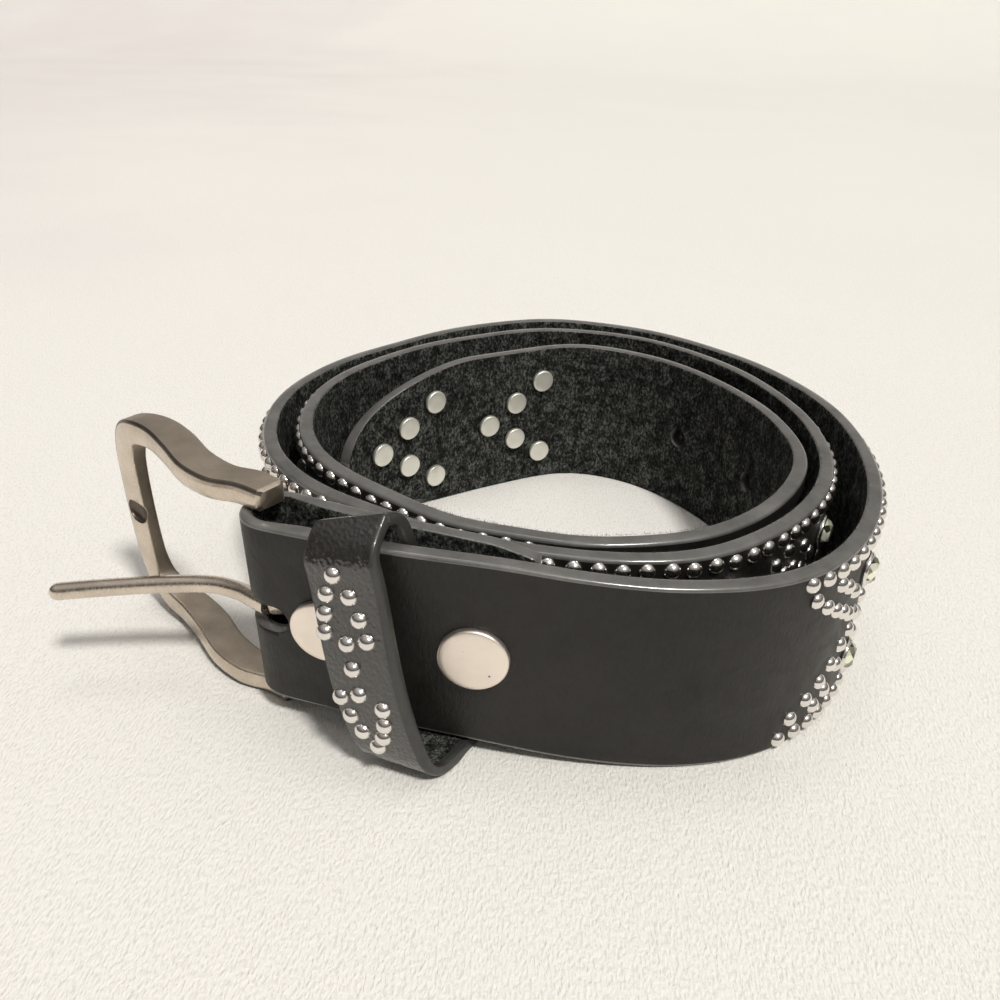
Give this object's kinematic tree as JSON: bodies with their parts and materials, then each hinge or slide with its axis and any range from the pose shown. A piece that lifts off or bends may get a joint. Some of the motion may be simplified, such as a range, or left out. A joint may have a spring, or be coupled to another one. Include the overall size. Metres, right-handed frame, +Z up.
{
  "type": "studded belt",
  "caption": "Leather belt with domed studs and cut stones, rolled into turns on its edge, with an open pin buckle, a keeper and snaps at the fold.",
  "frame": {"origin": "on the floor, under the middle of the whole belt's bounding box", "axes": "+Z up, along the strap's width as it stands on its edge; +X to the right and -Y towards the viewer of the picture, with the buckle at -X"},
  "size_m": [0.166, 0.151, 0.048],
  "materials": {
    "strap_leather": "black smooth grain outside, dark suede inside, burnished grey edges",
    "keeper_leather": "black pebbled grain, shiny where it bends",
    "buckle_metal": "satin warm nickel, worn bright on its edges",
    "tongue_metal": "satin warm nickel, smooth",
    "snap_metal": "matte pinkish plating with faint scuffs",
    "rivet_metal": "pale plated metal, flat back, domed head",
    "cut_stone": "clear pale stone with flat facets, in a silver setting"
  },
  "bodies": {
    "belt": {"strap": "strap_leather", "keeper": "keeper_leather", "snap_cap_1": "snap_metal", "snap_stud_1": "snap_metal", "snap_cap_2": "snap_metal", "snap_stud_2": "snap_metal", "rivet_01": "rivet_metal", "rivet_02": "rivet_metal", "rivet_03": "rivet_metal", "rivet_04": "rivet_metal", "rivet_05": "rivet_metal", "rivet_06": "rivet_metal", "rivet_07": "rivet_metal", "rivet_08": "rivet_metal", "rivet_09": "rivet_metal", "rivet_10": "rivet_metal", "stone_01_a": "cut_stone", "stone_01_b": "cut_stone", "stone_02_a": "cut_stone", "stone_02_b": "cut_stone", "stone_03_a": "cut_stone", "stone_03_b": "cut_stone", "stone_04_a": "cut_stone", "stone_04_b": "cut_stone", "stone_05_a": "cut_stone", "stone_05_b": "cut_stone", "stone_06_a": "cut_stone", "stone_06_b": "cut_stone", "stone_07_a": "cut_stone", "stone_07_b": "cut_stone", "stone_08_a": "cut_stone", "stone_08_b": "cut_stone", "stone_09_a": "cut_stone", "stone_09_b": "cut_stone", "stone_10_a": "cut_stone", "stone_10_b": "cut_stone", "stone_11_a": "cut_stone", "stone_11_b": "cut_stone", "stone_12_a": "cut_stone", "stone_12_b": "cut_stone", "stone_13_a": "cut_stone", "stone_13_b": "cut_stone", "stone_14_a": "cut_stone", "stone_14_b": "cut_stone", "stone_15_a": "cut_stone", "stone_15_b": "cut_stone", "stone_16_a": "cut_stone", "stone_16_b": "cut_stone", "stone_17_a": "cut_stone", "stone_17_b": "cut_stone", "stone_18_a": "cut_stone", "stone_18_b": "cut_stone", "stone_19_a": "cut_stone", "stone_19_b": "cut_stone", "stone_20_a": "cut_stone", "stone_20_b": "cut_stone"},
    "buckle": {"buckle_frame": "buckle_metal"},
    "tongue": {"tongue": "tongue_metal"}
  },
  "joints": [
    {"name": "buckle_hinge", "type": "hinge", "parent": "belt", "child": "buckle", "pos_m": [-0.03694, -0.05278, 0.02377], "axis": [-0.0228, -0.0659, 0.9976], "range_deg": [-20, 25]},
    {"name": "tongue_hinge", "type": "hinge", "parent": "buckle", "child": "tongue", "pos_m": [-0.03694, -0.05278, 0.02377], "axis": [-0.0228, -0.0659, 0.9976], "range_deg": [-28, 20]}
  ]
}
